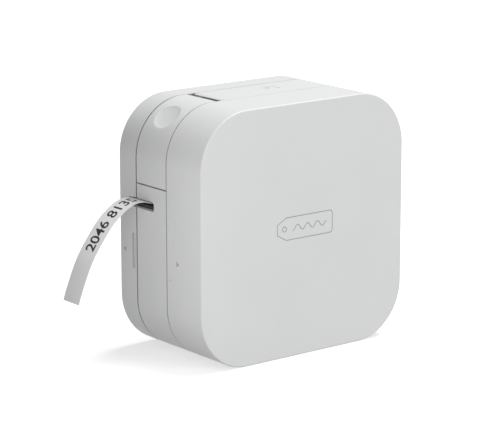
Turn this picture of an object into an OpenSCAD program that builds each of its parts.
// Wireless label maker for 12 mm tape. It stands on its narrow base: +X is to the right of
// the front face, +Y goes to the rear and +Z is up. The origin is the centre of the base.
// All sizes are in millimetres.

/* [Body] */
// Width of the body across the front
body_w = 115; // [114:0.5:118]
// Height of the body
body_h = 115; // [114:0.5:118]
// Depth from the front face to the rear face
body_d = 61; // [61:0.5:64]
// Radius of the four corners of the outline
corner_r = 25.5; // [24:0.5:28]
// Thickness of the moulded walls
wall = 2.5; // [2:0.1:2.5]
// Radius of the soft edge round the front face
front_edge_r = 1; // [0.8:0.1:3]
// Radius of the edge round the rear face
rear_edge_r = 1.5; // [1:0.5:3]

/* [Seams] */
// Place of the seam between the front cover and the band
front_seam = -5.5; // [-6:0.1:-5.4]
// Place of the seam between the band and the rear cover
rear_seam = 17; // [16.8:0.1:17.5]
// Width of the gap at the front seam
front_gap = 0.3; // [0.2:0.1:0.4]
// Width of the gap at the rear seam
rear_gap = 0.8; // [0.6:0.1:1]

/* [Tape] */
// Width of the tape
tape_w = 12; // [9:1:12]
// Thickness of the tape
tape_t = 0.25; // [0.15:0.05:0.3]
// Place of the middle of the tape, from the front to the rear
tape_y = 12; // [11.8:0.1:12.2]
// Height of the tape path inside the body
tape_z = 70; // [69.9:0.05:70.1]

/* [Cutter lever] */
// Lower end of the lever on the left side
lever_low = 78.4; // [78.2:0.1:78.8]
// Upper end of the lever on the top
lever_end = -30; // [-30.5:0.1:-30]
// Edge of the fixed top panel beyond the lever
lever_stop = -24.1; // [-24.1:0.1:-23]
// Diameter of the finger dimple
dimple_d = 15; // [12:0.5:15.5]
// Depth of the finger dimple
dimple_depth = 1.4; // [0.8:0.1:1.5]

/* [Gears] */
// Gear module, the pitch diameter for each tooth
gear_m = 0.8; // [0.8]
// Play between meshed teeth
gear_play = 0.16; // [0.14:0.02:0.2]

/* [Cells] */
// Diameter of one AAA cell
cell_d = 10.4; // [10:0.1:10.5]
// Length of one AAA cell with its cap
cell_l = 44.5; // [44:0.1:44.5]

/* [Hidden] */
$fn = 48;
e = 0.01; // how far a cutter runs past a face
run = 0.05; // radial clearance of a shaft that turns in a bore

// Body faces
half_w = body_w / 2;
front_y = -body_d / 2;
rear_y = body_d / 2;
band_front = front_seam + front_gap / 2;
band_rear = rear_seam - rear_gap / 2;
cover_front = front_seam - front_gap / 2;
cover_rear = rear_seam + rear_gap / 2;
inner_w = half_w - wall;
corner_x = half_w - corner_r;
corner_z = body_h - corner_r;
plate_y = band_front + 1.7; // rear face of the chassis plate
floor_y = 1.8; // front face of the cassette bay's floor
floor_t = 1.2;

// Exit slot
slot_z = [67.2, 71.5];
slot_y = [3.8, 23];

// Gear layers and the gear train: pinion, reduction, idler, ribbon drive, platen
layer_a = [-2.9, -1.1];
layer_b = [-0.8, 1.0];
teeth_motor = 10;
teeth_big = 34;
teeth_small = 11;
teeth_idler = 48;
teeth_ribbon = 27;
teeth_platen = 12;
function pitch_r(z) = gear_m * z / 2;
function mesh(za, zb) = pitch_r(za) + pitch_r(zb);
function turn(a, b) = atan2(b[1] - a[1], b[0] - a[0]);
// Angle of a gear's first tooth that meshes it with a gear whose first tooth is at pa
function mesh_phase(pa, za, zb, way) = way + 180 - (pa - way) * za / zb + 180 / zb;
roller_r = 4;
platen_c = [-33, tape_z + tape_t + 0.2 + roller_r];
ribbon_c = [platen_c[0], platen_c[1] - mesh(teeth_platen, teeth_ribbon)];
idler_x = -5.2;
idler_c = [idler_x, ribbon_c[1] - sqrt(pow(mesh(teeth_idler, teeth_ribbon), 2)
                                       - pow(idler_x - ribbon_c[0], 2))];
reduction_c = [idler_c[0] + mesh(teeth_idler, teeth_small), idler_c[1]];
motor_c = [reduction_c[0] + mesh(teeth_big, teeth_motor), idler_c[1]];
phase_idler = 0;
phase_small = mesh_phase(phase_idler, teeth_idler, teeth_small, turn(idler_c, reduction_c));
phase_big = 0;
phase_motor = mesh_phase(phase_big, teeth_big, teeth_motor, turn(reduction_c, motor_c));
phase_ribbon = mesh_phase(phase_idler, teeth_idler, teeth_ribbon, turn(idler_c, ribbon_c));
phase_platen = mesh_phase(phase_ribbon, teeth_ribbon, teeth_platen, turn(ribbon_c, platen_c));
gear_pin_r = 1.5;
motor_r = 10;

// Guide rollers and the roller holder
upper_r = 2.8;
lower_r = 2.4;
upper_c = [-42.2, tape_z + tape_t + 0.2 + upper_r];
lower_c = [-42.2, tape_z - 0.3 - lower_r];
holder_c = [-20, 79.1];
holder_y = [3.6, 19.6];
holder_t = 1;
shaft_r = 1;

// Cassette
case_y = [3.2, 20.8];
case_split = 15;
case_wall = 1.2;
case_left = -46;
case_right = 20.8;
case_low = 29.2;
case_high = 76.8;
case_notch = [-38.3, -27.5];
case_notch_z = 65;
case_arm_z = 69.4;
roll_r = 14.8;
roll_c = [3.5, 55];
supply_r = 6.6;
supply_c = [-17.5, 40];
takeup_r = 4.2;
hex_r = 2.6;

// Cutter lever, its pivot and its inner arm and fork
pivot = [-52.5, 82];
pivot_r = 1.25;
fork_x = [-45.3, -44.1];
fork_y = [-2.7, -0.3];
jaw_gap = [66, 68.3];
lever_travel = 3.9; // room left inside the lever's shell
lever_spring_c = [-39, 6];
ledge_z = 100;

// Blades: they pass each other in a plane across the tape path
blade_t = 0.8;
fixed_x = -52.1;
moving_x = fixed_x + blade_t + 0.1;
blade_c = [1.5, 67]; // pivot of the moving blade, as Y and Z
blade_sweep = 13;
blade_pin_r = 1;

// Power button
button_c = [9.2, 5.8];
button_r = 4.2;
button_z = 110;

// Cells and their tray
cell_pitch = 11;
cell_y = -21.6;
spring_l = 5.3;
tray_x = 35;
tray_z = [24, 77.7];
tray_wall = 1.5;
tray_mid = (tray_z[0] + tray_z[1]) / 2;
tray_half = (tray_z[1] - tray_z[0]) / 2 - tray_wall;
cell_low = spring_l + 0.2 - tray_half; // foot of a cell, from the middle of the tray
tray_y = [-26.8, -14.6];
ear_x = 38.5;
ear_root = 33;
ear_z = [31, 72.5];

// Boards
board_y = -8.6;
board_t = 1.6;
board_x = [-34, 34];
board_z = [10, 104];
board_hole_x = 30;
board_hole_z = [14, 100];
switch_z = 105;

// Adapter inlet
inlet = [5.8, 22]; // Y and Z
inlet_r = 2.8;
inlet_hole_r = 3.7;

// Finger recesses of the covers
recess_z = [38.8, 54.8];
recess_w = 3.3;
recess_depth = 0.8;

// Screw places, as X and Z
bay_posts = [[-43.5, 25.2], [26, 27], [26, 76], [-10, 79.2]];
boss_places = [[-45.65, 11.85], [45.65, 11.85], [45.65, 103.15], [-51.4, 48]];
boss_r = 3.8;
boss_l = 5;
boss_screw_l = 4;

// Lips that locate the covers
lip_gap = 0.3;
lip_t = 1;
lip_l = 2;

// Path of the label from the cut end to its free end, as X and Z
label_route = [[-51.45, tape_z + tape_t / 2], [-54.5, 70.5], [-57.5, 71], [-61, 71.9], [-64.5, 72],
               [-68, 71], [-72, 68.8], [-75.5, 66], [-78.8, 62.8], [-82, 58.8], [-85.6, 54],
               [-88.8, 49], [-91.3, 44], [-93.4, 39], [-95.2, 34.5], [-96.4, 31]];

// Point at t between b and c on the smooth curve through a, b, c and d
function spline(a, b, c, d, t) =
    0.5 * (2 * b + (c - a) * t + (2 * a - 5 * b + 4 * c - d) * t * t
           + (3 * b - a - 3 * c + d) * t * t * t);
function last(list) = list[len(list) - 1];
function smooth(route, n) = concat(
    [for (i = [0 : len(route) - 2]) for (k = [0 : n - 1])
        spline(route[max(i - 1, 0)], route[i], route[i + 1],
               route[min(i + 2, len(route) - 1)], k / n)],
    [last(route)]);
function unit(v) = v / norm(v);
function side(path, i) =
    let (d = unit(path[min(i + 1, len(path) - 1)] - path[max(i - 1, 0)])) [-d[1], d[0]];
// Outline of a strip of thickness t that follows a path
function strip(path, t) = concat(
    [for (i = [0 : len(path) - 1]) path[i] + side(path, i) * t / 2],
    [for (i = [len(path) - 1 : -1 : 0]) path[i] - side(path, i) * t / 2]);

// A profile drawn in X and Z, given depth from y0 to y1
module slab(y0, y1) translate([0, y1, 0]) rotate([90, 0, 0]) linear_extrude(y1 - y0) children();

// A box from its lowest to its highest corner
module block(low, high) translate(low) cube(high - low);

// Round bars along Y, X and Z
module rod_y(c, r, y0, y1) translate([c[0], y1, c[1]]) rotate([90, 0, 0]) cylinder(r = r, h = y1 - y0);
module rod_x(c, r, x0, x1) translate([x0, c[0], c[1]]) rotate([0, 90, 0]) cylinder(r = r, h = x1 - x0);
module rod_z(c, r, z0, z1) translate([c[0], c[1], z0]) cylinder(r = r, h = z1 - z0);

// Outline of the body, drawn in by inset
module outline(inset) {
    r = corner_r - inset;
    union() {
        translate([-corner_x, inset]) square([2 * corner_x, body_h - 2 * inset]);
        translate([inset - half_w, corner_r]) square([body_w - 2 * inset, body_h - 2 * corner_r]);
        for (x = [-corner_x, corner_x], z = [corner_r, corner_z])
            translate([x, z]) circle(r);
    }
}

// Outer form of a cover: straight sides and a rounded edge of radius r towards its face
module cover_form(face_y, seam_y, r) {
    way = sign(seam_y - face_y);
    hull() {
        for (a = [0 : 15 : 90]) {
            y = face_y + way * r * (1 - cos(a));
            slab(y - e / 2 + way * e / 2, y + e / 2 + way * e / 2) outline(r * (1 - sin(a)), $fn = 40);
        }
        slab(seam_y - e / 2 - way * e / 2, seam_y + e / 2 - way * e / 2) outline(0, $fn = 40);
    }
}

// Finger recesses on both sides of a cover: a ramp that falls from its rim to a step
module finger_recess(rim_y, step_y) {
    for (s = [-1, 1])
        translate([0, 0, recess_z[0]]) linear_extrude(recess_z[1] - recess_z[0])
            polygon([[s * half_w, rim_y], [s * (half_w - recess_depth), step_y],
                     [s * (half_w + 1), step_y], [s * (half_w + 1), rim_y]]);
}

// The exit slot, cut through the left wall
module exit_slot() {
    r = 1.2;
    hull() {
        rod_x([slot_y[0] + r, slot_z[0] + r], r, -half_w - 1, -inner_w + 2, $fn = 24);
        rod_x([slot_y[0] + r, slot_z[1] - r], r, -half_w - 1, -inner_w + 2, $fn = 24);
        rod_x([slot_y[1] - r, slot_z[0] + r], r, -half_w - 1, -inner_w + 2, $fn = 24);
        rod_x([slot_y[1] - r, slot_z[1] - r], r, -half_w - 1, -inner_w + 2, $fn = 24);
    }
}

module front_cover() color("white")
    difference() {
        cover_form(front_y, cover_front, front_edge_r);
        slab(front_y + 2.2, cover_front + 1) outline(wall);
        finger_recess(cover_front, cover_front - recess_w);
    }

module rear_cover() color("gainsboro")
    difference() {
        cover_form(rear_y, cover_rear, rear_edge_r);
        slab(cover_rear - 1, rear_y - 2.2) outline(wall);
        finger_recess(cover_rear, cover_rear + recess_w);
        exit_slot();
    }

// Room for the cutter lever, cut out of the band's outline
module lever_room() difference() {
    polygon([[-half_w - 1, lever_low - 0.3], [-half_w - 1, body_h + 1], [lever_stop, body_h + 1],
             [lever_stop, body_h], [lever_stop - 1.1, body_h - 1.2], [lever_stop - 0.3, body_h - wall],
             [lever_stop - 2.3, body_h - wall - 0.4], [lever_stop - 2.3, corner_z],
             [-corner_x, corner_z], [-corner_x, lever_low - 0.3]]);
    outline(wall + lever_travel);
}

// Ring between two insets of the outline
module ring(inset_out, inset_in) difference() { outline(inset_out); outline(inset_in); }

// Lip that reaches into a cover and locates it, over a foot that joins it to the wall
module lip_ring(y0, y1) slab(y0, y1) ring(wall + lip_gap, wall + lip_gap + lip_t);
module lip_foot(y0, y1) slab(y0, y1) ring(wall - e, wall + lip_gap + lip_t);

module ledge(low, high) block([low[0], plate_y - e, low[1]], [high[0], 14, high[1]]);

// The band round the middle of the body, open for the cutter lever at its upper left corner
module middle_band() color("whitesmoke")
    difference() {
        union() {
            difference() {
                union() {
                    slab(band_front, band_rear) ring(0, wall);
                    difference() {
                        union() {
                            lip_foot(plate_y, plate_y + 1.2);
                            lip_foot(band_rear - 1.5, band_rear);
                            lip_ring(band_rear - e, band_rear + lip_l);
                        }
                        block([-inner_w, plate_y - 1, 58], [-inner_w + 8, band_rear + 3, 80]);
                    }
                    for (c = boss_places) rod_y(c, boss_r, plate_y, plate_y + boss_l);
                }
                slab(band_front - 3, band_rear + 3) lever_room();
            }
            // lugs for the lever's pin
            for (y = [4.2, 12.2]) {
                block([-inner_w - e, y, 75.4], [pivot[0] + 2, y + 2, lever_low - 0.4]);
                block([pivot[0] - 2, y, 75.4], [pivot[0] + 2, y + 2, pivot[1]]);
                rod_y(pivot, 2, y, y + 2);
            }
        }
        rod_y(pivot, pivot_r, 0, 16);
        exit_slot();
        rod_z(button_c, button_r + 0.2, body_h - wall - 1, body_h + 1);
        rod_x(inlet, inlet_hole_r, inner_w - 1, half_w + 1);
        for (c = boss_places) rod_y(c, 1, plate_y - 1, plate_y + boss_l - 1);
    }

// The plate that closes the band towards the front cover and carries the works
module chassis_plate() color("gainsboro")
    difference() {
        union() {
            slab(band_front, plate_y) outline(wall + 0.1);
            lip_ring(band_front - lip_l, band_front + e);
            ledge([-44, ledge_z - 2], [lever_stop - 0.5, ledge_z]);
            // end wall of the lever's well
            block([lever_stop - 2.3, plate_y - e, ledge_z - e], [lever_stop - 0.5, 14, ledge_z + 8]);
            // gear pins and posts under the cassette bay
            for (c = [reduction_c, idler_c]) rod_y(c, gear_pin_r, plate_y - e, floor_y + floor_t);
            rod_y(ribbon_c, gear_pin_r, plate_y - e, layer_b[0] + 0.5);
            for (c = bay_posts) rod_y(c, 2.4, plate_y - e, floor_y);
            // posts for the boards and the battery tray
            for (x = [-board_hole_x, board_hole_x], z = board_hole_z)
                rod_y([x, z], 2.2, board_y + board_t, band_front + e);
            for (x = [-ear_x, ear_x], z = ear_z) rod_y([x, z], 2.4, tray_y[1] + 1.6, band_front + e);
            // shelf under the switch board
            ledge([2, switch_z - 2.6], [16.4, switch_z - 0.8]);
        }
        slab(band_front - 3, plate_y + 1) lever_room();
        for (c = boss_places) rod_y(c, 1.15, band_front - 1, plate_y + 1);
    }

// The band's upper left corner
module lever_outline(inset) intersection() {
    outline(inset);
    translate([-half_w - 1, lever_low + 0.3]) square([half_w + 1 + lever_end, body_h - lever_low]);
}

module dimple() {
    a = 131;
    ball = (pow(dimple_d / 2, 2) + pow(dimple_depth, 2)) / (2 * dimple_depth);
    r = corner_r + ball - dimple_depth;
    translate([-corner_x + r * cos(a), 6, corner_z + r * sin(a)])
        sphere(ball, $fn = 96);
}

module cutter_lever() color("whitesmoke")
    difference() {
        union() {
            slab(band_front, band_rear) difference() { lever_outline(0); outline(wall); }
            // end lip
            slab(band_front, band_rear) translate([lever_end - 1.6, 111.2]) square([1.6, 2]);
            // inner ribs
            for (y = [1, 10]) slab(y, y + 1.6) difference() {
                lever_outline(wall - e);
                outline(wall + 4);
                translate([lever_end - 1.6, 100]) square(20);
            }
            // hub and arm
            rod_y(pivot, 2.6, fork_y[1], 3.6);
            rod_y(pivot, 2.6, 10, 11.6);
            block([pivot[0], fork_y[1], 84.2], [fork_x[1], 0.9, 87]);
            block([pivot[0] - 2.4, fork_y[1], 82], [pivot[0] + 2, 0.9, 87]);
            // fork that holds the blade carrier's tail
            block([fork_x[0], fork_y[1], 63.8], [fork_x[1], 0.9, 87]);
            block([fork_x[0], fork_y[0], 63.8], [fork_x[1], 0, jaw_gap[0]]);
            block([fork_x[0], fork_y[0], jaw_gap[1]], [fork_x[1], 0, 70.2]);
            // seat of the return spring
            rod_z(lever_spring_c, 2, 109, 112);
        }
        rod_y(pivot, pivot_r + run, -1, 16);
        dimple();
    }

module lever_pin() color("silver") rod_y(pivot, pivot_r, fork_y[1], 15);

// Wire coil along Z, from z0 to z1
module coil(c, r, wire, z0, z1, turns) {
    n = 12 * turns;
    m = 6;
    rise = z1 - z0 - 2 * wire;
    points = [for (i = [0 : n]) for (k = [0 : m - 1])
        let (a = 30 * i, b = 360 * k / m, q = r + wire * cos(b))
            [c[0] + q * cos(a), c[1] + q * sin(a), z0 + wire + rise * i / n + wire * sin(b)]];
    sides = [for (i = [0 : n - 1]) for (k = [0 : m - 1])
        [i * m + k, (i + 1) * m + k, (i + 1) * m + (k + 1) % m, i * m + (k + 1) % m]];
    caps = [[for (k = [0 : m - 1]) k], [for (k = [m - 1 : -1 : 0]) n * m + k]];
    polyhedron(points, concat(sides, caps));
}

module lever_spring() color("silver") coil(lever_spring_c, 2.9, 0.3, ledge_z, 109, 6);

module power_button() color("whitesmoke") {
    rod_z(button_c, button_r, button_z + 1, body_h);
    rod_z(button_c, button_r + 1, button_z, button_z + 1);
}

module printed_label() color("white")
    slab(tape_y - tape_w / 2, tape_y + tape_w / 2) polygon(strip(smooth(label_route, 4), tape_t));

module blade_holder() color("dimgray")
    difference() {
        block([-inner_w, -2.8, 60], [fixed_x, 19.4, 74.8]);
        block([-inner_w - 1, 4.6, 68.6], [fixed_x + 1, 19.4 + 1, 71.6]);
        block([-inner_w - 1, band_rear - 0.2, 59], [-inner_w + 0.5, 20, 76]);
        rod_x(blade_c, blade_pin_r, -inner_w - 1, 0);
    }

module fixed_blade() color("silver")
    block([fixed_x, 4.8, tape_z + tape_t + 0.35], [fixed_x + blade_t, 19.4, 74.8]);

module blade_turned() translate([0, blade_c[0], blade_c[1]]) rotate([-blade_sweep, 0, 0]) children();

module moving_blade() color("silver")
    difference() {
        blade_turned() translate([moving_x, 0, 0]) rotate([90, 0, 90]) linear_extrude(blade_t)
            polygon([[-1.8, -2], [-1.8, 2], [2.6, 3.5], [17.4, 3.5], [18, 1.4], [16.5, -1.6], [6, -2]]);
        rod_x(blade_c, blade_pin_r + run, moving_x - 1, moving_x + 2);
    }

module blade_carrier() color("dimgray") {
    x0 = moving_x + blade_t;
    difference() {
        union() {
            rod_x(blade_c, 2.3, x0, x0 + 2);
            block([x0, -2.1, 66.4], [x0 + 2, blade_c[0], 67.9]);
        }
        rod_x(blade_c, blade_pin_r + run, x0 - 1, x0 + 3);
    }
    block([x0, -2.1, 66.4], [-42.8, -0.9, 67.9]);
}

module blade_pin() color("silver") rod_x(blade_c, blade_pin_r, -inner_w, moving_x + blade_t + 2.3);

// Screw along Y, with its head towards +Y from y
module screw_y(c, r, y, depth) {
    difference() {
        rod_y(c, r * 1.8, y, y + 1);
        block([c[0] - r * 1.3, y + 0.6, c[1] - 0.25], [c[0] + r * 1.3, y + 2, c[1] + 0.25]);
        block([c[0] - 0.25, y + 0.6, c[1] - r * 1.3], [c[0] + 0.25, y + 2, c[1] + r * 1.3]);
    }
    rod_y(c, r, y - depth, y + e);
}

module blade_screws() color("silver")
    for (y = [8, 16]) rod_x([y, 73.2], 0.7, fixed_x + blade_t, fixed_x + blade_t + 0.5);

module print_head() color("darkslategray") block([-35.2, 5, 68.4], [-31.2, 19, 69.6]);

module head_heat_sink() color("silver")
    difference() {
        block([-35.6, floor_y + floor_t, 65.6], [-30.6, 19, 68.4]);
        for (x = [-34.8, -33.4, -32]) block([x, 6, 65], [x + 0.7, 20, 67]);
    }

module holder_cheek(y) slab(y, y + holder_t) union() {
    translate([-46, 77.8]) square([holder_c[0] + 46, 2.8]);
    translate([upper_c[0] - 2.6, upper_c[1] - 1.6]) square([5.2, 8]);
    translate([platen_c[0] - 3, platen_c[1] - 2]) square([6, 7]);
    translate(holder_c) circle(2);
}

module roller_holder() color("gray")
    difference() {
        union() {
            holder_cheek(holder_y[0]);
            holder_cheek(holder_y[1] - holder_t);
            block([-46, holder_y[0], 79.4], [-24, holder_y[1], 80.6]);
        }
        rod_y(holder_c, shaft_r + run, 0, 25);
        rod_y(platen_c, shaft_r + run, 0, 25);
        rod_y(upper_c, shaft_r + run, 0, 25);
    }

module holder_pin() color("silver") rod_y(holder_c, shaft_r, floor_y + floor_t, holder_y[1] + 0.4);

module platen_roller() color("black")
    difference() {
        rod_y(platen_c, roller_r, holder_y[0] + holder_t + 0.3, holder_y[1] - holder_t - 0.3);
        rod_y(platen_c, shaft_r, 0, 25);
    }

module platen_shaft() color("silver") rod_y(platen_c, shaft_r, layer_b[0], holder_y[1] + 0.4);

// Gear wheel of z teeth, its first tooth at angle phase, each tooth thinned by play
module gear_profile(z, phase, play) {
    rp = pitch_r(z);
    ra = rp + 0.85 * gear_m;
    rf = rp - 1.1 * gear_m;
    half = 90 / z - play / 2 / rp * 180 / PI;
    tip = half - 0.85 * gear_m * tan(20) / ra * 180 / PI;
    foot = half + 1.1 * gear_m * tan(20) / rf * 180 / PI * 0.8;
    polygon([for (i = [0 : z - 1]) for (p = [[rf, -foot], [ra, -tip], [ra, tip], [rf, foot]])
        let (a = phase + i * 360 / z + p[1]) [p[0] * cos(a), p[0] * sin(a)]]);
}

module gear(c, z, phase, layer, play = gear_play)
    slab(layer[0], layer[1]) translate(c) gear_profile(z, phase, play);

module platen_gear() color("ivory")
    difference() {
        // thinner teeth, which come free when the holder swings up
        gear(platen_c, teeth_platen, phase_platen, layer_b, 2 * gear_play);
        rod_y(platen_c, shaft_r, -5, 5);
    }

module upper_guide_roller() color("gray") {
    rod_y(upper_c, upper_r, holder_y[0] + holder_t + 0.3, holder_y[1] - holder_t - 0.3);
    rod_y(upper_c, shaft_r, holder_y[0] - 0.3, holder_y[1] + 0.3);
}

module drive_motor() color("silver")
    difference() {
        union() {
            rod_y(motor_c, motor_r, floor_y + floor_t, 22);
            rod_y(motor_c, 3, 22, 23.5);
        }
        rod_y(motor_c, shaft_r + run, 0, 20);
    }

module motor_shaft() color("silver") rod_y(motor_c, shaft_r, layer_a[0], 19);

module motor_pinion() color("goldenrod")
    difference() {
        gear(motor_c, teeth_motor, phase_motor, layer_a);
        rod_y(motor_c, shaft_r, -5, 5);
    }

module reduction_gear() color("ivory")
    difference() {
        union() {
            gear(reduction_c, teeth_big, phase_big, layer_a);
            gear(reduction_c, teeth_small, phase_small, [layer_a[1] - e, layer_b[1]]);
        }
        rod_y(reduction_c, gear_pin_r + run, -5, 5);
    }

module idler_gear() color("ivory")
    difference() {
        union() {
            gear(idler_c, teeth_idler, phase_idler, layer_b);
            rod_y(idler_c, 3, layer_a[0], layer_b[1] + 0.4);
        }
        rod_y(idler_c, gear_pin_r + run, -5, 5);
    }

module ribbon_drive_gear() color("ivory")
    difference() {
        union() {
            gear(ribbon_c, teeth_ribbon, phase_ribbon, layer_b);
            rod_y(ribbon_c, 3, layer_a[0], floor_y + floor_t + 0.4);
            translate([0, 17, 0]) rod_y(ribbon_c, hex_r, -14, 0, $fn = 6);
        }
        rod_y(ribbon_c, gear_pin_r + run, -5, layer_b[0] + 0.8);
    }

module cassette_bay() color("lightgray")
    difference() {
        union() {
            block([-46.8, floor_y, 27.3], [47.5, floor_y + floor_t, 79.6]);
            for (c = bay_posts) rod_y(c, 2.6, floor_y, floor_y + floor_t);
            rod_y(holder_c, 2.4, floor_y, floor_y + floor_t);
            block([-46.8, floor_y, 27.3], [22.4, 16, 28.6]);
            block([21.4, floor_y, 27.3], [22.6, 16, 74]);
            block([-47.8, floor_y, 27.3], [-46.6, 16, 60]);
        }
        block([-37.4, 0, 71], [-28.6, 5, 82]);
        rod_y(ribbon_c, 3.4, 0, 5);
        rod_y(motor_c, 3, 0, 5);
        rod_y(reduction_c, gear_pin_r, 0, 5);
        rod_y(idler_c, gear_pin_r, 0, 5);
        for (c = bay_posts) rod_y(c, 1, 0, 5);
    }

module bay_screws() color("silver") for (c = bay_posts) screw_y(c, 1, floor_y + floor_t, floor_t);

module chassis_screws() color("silver")
    for (c = boss_places) mirror([0, 1, 0]) screw_y(c, 1, -band_front, boss_screw_l);

module case_outline() polygon([[case_left, case_low], [case_right, case_low], [case_right, case_high],
    [case_notch[1], case_high], [case_notch[1], case_notch_z], [case_notch[0], case_notch_z],
    [case_notch[0], case_arm_z], [case_left, case_arm_z]]);

// Half of the cassette's shell, with its closed face at y0 or y1
module case_half(y0, y1, face_y) difference() {
    slab(y0, y1) case_outline();
    slab(face_y == y0 ? y0 + case_wall : y0 - 1, face_y == y0 ? y1 + 1 : y1 - case_wall)
        offset(delta = -case_wall) case_outline();
    // the tape's way out, over the arm and through the notch
    block([-45.2, 5.6, 66.4], [-39.2, 18.4, 72]);
    block([-30, 5.6, tape_z - 0.4], [-20, 18.4, tape_z + 0.8]);
}

module cassette_case() color("dimgray")
    difference() {
        union() {
            case_half(case_y[0], case_split, case_y[0]);
            rod_y(roll_c, 4.4, case_y[0], 18);
            rod_y(supply_c, 2.4, case_y[0], 18);
            rod_y(lower_c, shaft_r, case_y[0], 18.4);
        }
        rod_y(ribbon_c, 3.6, 0, case_y[0] + 2);
    }

module cassette_lid() color("gray") case_half(case_split, case_y[1], case_y[1]);

module tape_roll() color("white")
    difference() {
        rod_y(roll_c, roll_r, tape_y - tape_w / 2, tape_y + tape_w / 2);
        rod_y(roll_c, 4.4 + run, 0, 25);
    }

module tape_feed() color("white")
    block([moving_x + blade_t + 0.25, tape_y - tape_w / 2, tape_z],
          [roll_c[0], tape_y + tape_w / 2, tape_z + tape_t]);

module ribbon_supply_spool() color("black")
    difference() {
        rod_y(supply_c, supply_r, tape_y - tape_w / 2, tape_y + tape_w / 2);
        rod_y(supply_c, 2.4 + run, 0, 25);
    }

module ribbon_takeup_spool() color("black")
    difference() {
        rod_y(ribbon_c, takeup_r, 5, 19);
        translate([0, 17.4, 0]) rod_y(ribbon_c, hex_r + 0.3, -13, 0, $fn = 6);
    }

module lower_guide_roller() color("gray")
    difference() {
        rod_y(lower_c, lower_r, 5.8, 18.2);
        rod_y(lower_c, shaft_r + run, 0, 25);
    }

function cell_x(i) = (i - 3.5) * cell_pitch;

// Puts a cell's children at place i, every second one upside down
module cell_place(i) translate([cell_x(i), cell_y, tray_mid]) mirror([0, 0, i % 2]) children();

module battery_tray() color("gainsboro")
    difference() {
        union() {
            block([-tray_x, tray_y[0], tray_z[0]], [tray_x, tray_y[1], tray_z[1]]);
            for (x = [-ear_x, ear_x], z = ear_z) rod_y([x, z], 3, tray_y[1], tray_y[1] + 1.6);
            for (s = [-1, 1], z = ear_z)
                translate([s * (ear_x + ear_root) / 2, tray_y[1] + 0.8, z])
                    cube([ear_x - ear_root, 1.6, 6], center = true);
        }
        for (i = [1 : 6]) {
            q = cell_d / 2 + 0.25;
            rod_z([cell_x(i), cell_y], q, tray_mid - tray_half, tray_mid + tray_half);
            block([cell_x(i) - q, tray_y[0] - 1, tray_mid - tray_half],
                  [cell_x(i) + q, cell_y, tray_mid + tray_half]);
        }
        for (x = [-ear_x, ear_x], z = ear_z) rod_y([x, z], 1.1, tray_y[1] - 1, tray_y[1] + 3);
    }

module tray_screws() color("silver")
    for (x = [-ear_x, ear_x], z = ear_z) mirror([0, 1, 0]) screw_y([x, z], 1.1, -tray_y[1], 1.5);

module cell(i) cell_place(i) translate([0, 0, cell_low]) rotate_extrude()
    polygon([[0, 0], [cell_d / 2 - 0.6, 0], [cell_d / 2 - 0.6, 0.3], [cell_d / 2, 0.5],
             [cell_d / 2, cell_l - 1.4], [cell_d / 2 - 0.5, cell_l - 1], [1.9, cell_l - 1],
             [1.9, cell_l], [0, cell_l]]);

module battery_1() color("dimgray") cell(1);
module battery_2() color("dimgray") cell(2);
module battery_3() color("dimgray") cell(3);
module battery_4() color("dimgray") cell(4);
module battery_5() color("dimgray") cell(5);
module battery_6() color("dimgray") cell(6);

module contact_springs() color("silver")
    for (i = [1 : 6]) cell_place(i) coil([0, 0], 2.6, 0.3, -tray_half, cell_low - 0.2, 3);

module contact_plates() color("silver")
    for (i = [1 : 6]) cell_place(i)
        block([-3.6, -3.6, cell_low + cell_l + 0.1], [3.6, 3.6, tray_half]);

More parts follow.
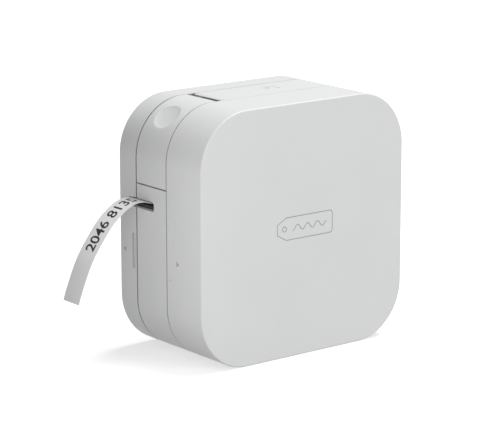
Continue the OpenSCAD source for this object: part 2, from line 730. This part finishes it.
module main_board() color("darkgreen")
    difference() {
        union() {
            block([board_x[0], board_y, board_z[0]], [board_x[1], board_y + board_t, board_z[1]]);
            // processor, memory, driver and connectors
            block([-6, board_y - 1.2, 86], [6, board_y + e, 98]);
            block([-20, board_y - 1, 88], [-13, board_y + e, 95]);
            block([-24, board_y - 3, 12], [-12, board_y + e, 18]);
            block([14, board_y - 3, 12], [24, board_y + e, 18]);
        }
        for (x = [-board_hole_x, board_hole_x], z = board_hole_z) rod_y([x, z], 1.1, board_y - 5, 0);
    }

module wireless_module() color("gold") block([12, board_y - 2, 85], [25, board_y, 99]);

module board_screws() color("silver")
    for (x = [-board_hole_x, board_hole_x], z = board_hole_z)
        mirror([0, 1, 0]) screw_y([x, z], 1.1, -board_y, board_t);

module switch_board() color("darkgreen")
    block([2.6, plate_y + 0.4, switch_z - 0.8], [15.8, 13, switch_z + 0.4]);

module power_switch() color("dimgray") {
    block([button_c[0] - 3, button_c[1] - 3, switch_z + 0.4],
          [button_c[0] + 3, button_c[1] + 3, switch_z + 3.2]);
    rod_z(button_c, 1.6, switch_z + 3.2, switch_z + 3.9);
}

module dc_socket() color("black")
    difference() {
        union() {
            intersection() {
                block([inner_w - 12, inlet[0] - 4.5, inlet[1] - 4.5],
                      [inner_w, inlet[0] + 4.5, inlet[1] + 4.5]);
                slab(0, 14) outline(wall + 0.05);
            }
            rod_x(inlet, inlet_hole_r - 0.1, inner_w - 1, half_w - 0.3);
        }
        rod_x(inlet, inlet_r, half_w - 9.8, half_w + 1);
    }

module dc_socket_pin() color("silver") rod_x(inlet, 0.8, half_w - 9.8, half_w - 0.9);

front_cover();
rear_cover();
middle_band();
chassis_plate();
chassis_screws();
cutter_lever();
lever_pin();
lever_spring();
power_button();
printed_label();
blade_holder();
fixed_blade();
moving_blade();
blade_carrier();
blade_pin();
blade_screws();
print_head();
head_heat_sink();
roller_holder();
holder_pin();
platen_roller();
platen_shaft();
platen_gear();
upper_guide_roller();
drive_motor();
motor_shaft();
motor_pinion();
reduction_gear();
idler_gear();
ribbon_drive_gear();
cassette_bay();
bay_screws();
cassette_case();
cassette_lid();
tape_roll();
tape_feed();
ribbon_supply_spool();
ribbon_takeup_spool();
lower_guide_roller();
battery_tray();
tray_screws();
battery_1();
battery_2();
battery_3();
battery_4();
battery_5();
battery_6();
contact_springs();
contact_plates();
main_board();
wireless_module();
board_screws();
switch_board();
power_switch();
dc_socket();
dc_socket_pin();
